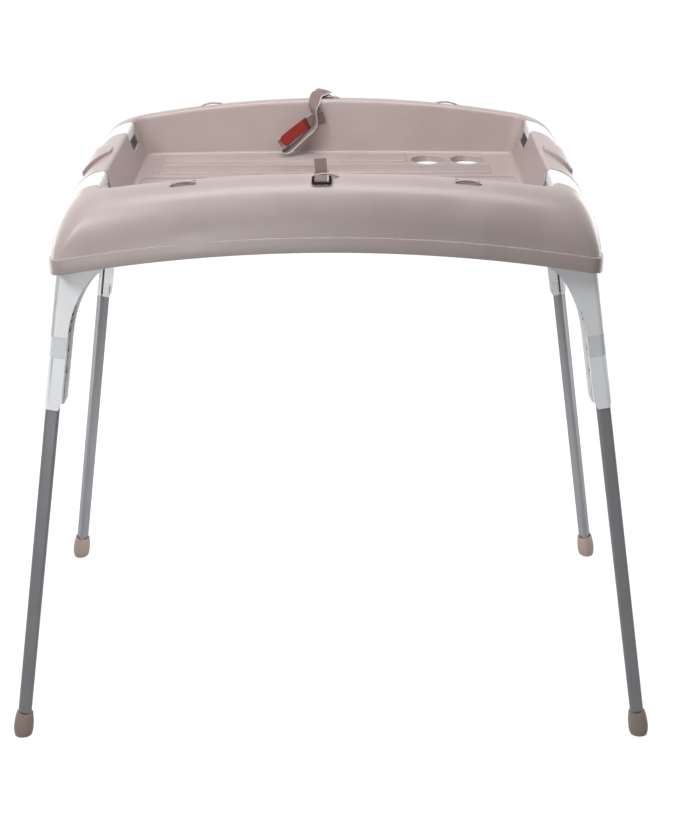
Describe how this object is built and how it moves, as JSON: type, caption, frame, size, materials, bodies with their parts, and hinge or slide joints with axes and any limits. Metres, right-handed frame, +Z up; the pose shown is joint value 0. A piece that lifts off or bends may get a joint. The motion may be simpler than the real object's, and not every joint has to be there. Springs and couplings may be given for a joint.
{
  "type": "changing table",
  "caption": "Free-standing changing table: a moulded tray with arched rims, white saddles, strap loops and bottle holes, standing on splayed plug-in legs with rubber shoes.",
  "frame": {"origin": "on the floor, below the middle of the tray", "axes": "+X along the tray's length, +Y towards the back (the patch on the rear strap is on this side), +Z up"},
  "size_m": [1.046, 0.5966, 0.9524],
  "materials": {
    "taupe_plastic": "semi-gloss moulded polypropylene",
    "white_plastic": "semi-gloss moulded polypropylene",
    "grey_plastic": "satin moulded polypropylene",
    "tube_paint": "satin powder coat on steel tube",
    "shoe_rubber": "matte moulded rubber",
    "screw_steel": "zinc plated",
    "taupe_webbing": "plain woven webbing",
    "hook_fabric": "red hook tape",
    "black_plastic": "satin acetal",
    "slider_grey": "satin acetal"
  },
  "bodies": {
    "table": {"tray": "taupe_plastic", "front_left_saddle": "white_plastic", "front_right_saddle": "white_plastic", "rear_left_saddle": "white_plastic", "rear_right_saddle": "white_plastic", "front_left_bracket": "white_plastic", "front_right_bracket": "white_plastic", "rear_left_bracket": "white_plastic", "rear_right_bracket": "white_plastic", "front_left_inset": "grey_plastic", "front_right_inset": "grey_plastic", "rear_left_inset": "grey_plastic", "rear_right_inset": "grey_plastic", "bracket_screws": "screw_steel", "front_strap": "taupe_webbing", "front_slider": "black_plastic", "rear_strap": "taupe_webbing", "rear_slider": "slider_grey", "hook_patch": "hook_fabric"},
    "front_left_leg": {"front_left_leg_tube": "tube_paint", "front_left_shoe": "shoe_rubber"},
    "front_right_leg": {"front_right_leg_tube": "tube_paint", "front_right_shoe": "shoe_rubber"},
    "rear_left_leg": {"rear_left_leg_tube": "tube_paint", "rear_left_shoe": "shoe_rubber"},
    "rear_right_leg": {"rear_right_leg_tube": "tube_paint", "rear_right_shoe": "shoe_rubber"},
    "front_left_release": {"front_left_button": "white_plastic"},
    "front_right_release": {"front_right_button": "white_plastic"},
    "rear_left_release": {"rear_left_button": "white_plastic"},
    "rear_right_release": {"rear_right_button": "white_plastic"}
  },
  "joints": [
    {"name": "front_left_pull", "type": "slide", "parent": "table", "child": "front_left_leg", "axis": [-0.1636, -0.0664, -0.9843], "range_m": [0, 0.11]},
    {"name": "front_right_pull", "type": "slide", "parent": "table", "child": "front_right_leg", "axis": [0.1636, -0.0664, -0.9843], "range_m": [0, 0.11]},
    {"name": "rear_left_pull", "type": "slide", "parent": "table", "child": "rear_left_leg", "axis": [-0.1636, 0.0664, -0.9843], "range_m": [0, 0.11]},
    {"name": "rear_right_pull", "type": "slide", "parent": "table", "child": "rear_right_leg", "axis": [0.1636, 0.0664, -0.9843], "range_m": [0, 0.11]},
    {"name": "front_left_press", "type": "slide", "parent": "table", "child": "front_left_release", "axis": [0.0109, -0.9978, 0.0655], "range_m": [0, 0.002], "stiffness_N_per_m": 400},
    {"name": "front_right_press", "type": "slide", "parent": "table", "child": "front_right_release", "axis": [-0.0109, -0.9978, 0.0655], "range_m": [0, 0.002], "stiffness_N_per_m": 400},
    {"name": "rear_left_press", "type": "slide", "parent": "table", "child": "rear_left_release", "axis": [0.0109, 0.9978, 0.0655], "range_m": [0, 0.002], "stiffness_N_per_m": 400},
    {"name": "rear_right_press", "type": "slide", "parent": "table", "child": "rear_right_release", "axis": [-0.0109, 0.9978, 0.0655], "range_m": [0, 0.002], "stiffness_N_per_m": 400}
  ]
}
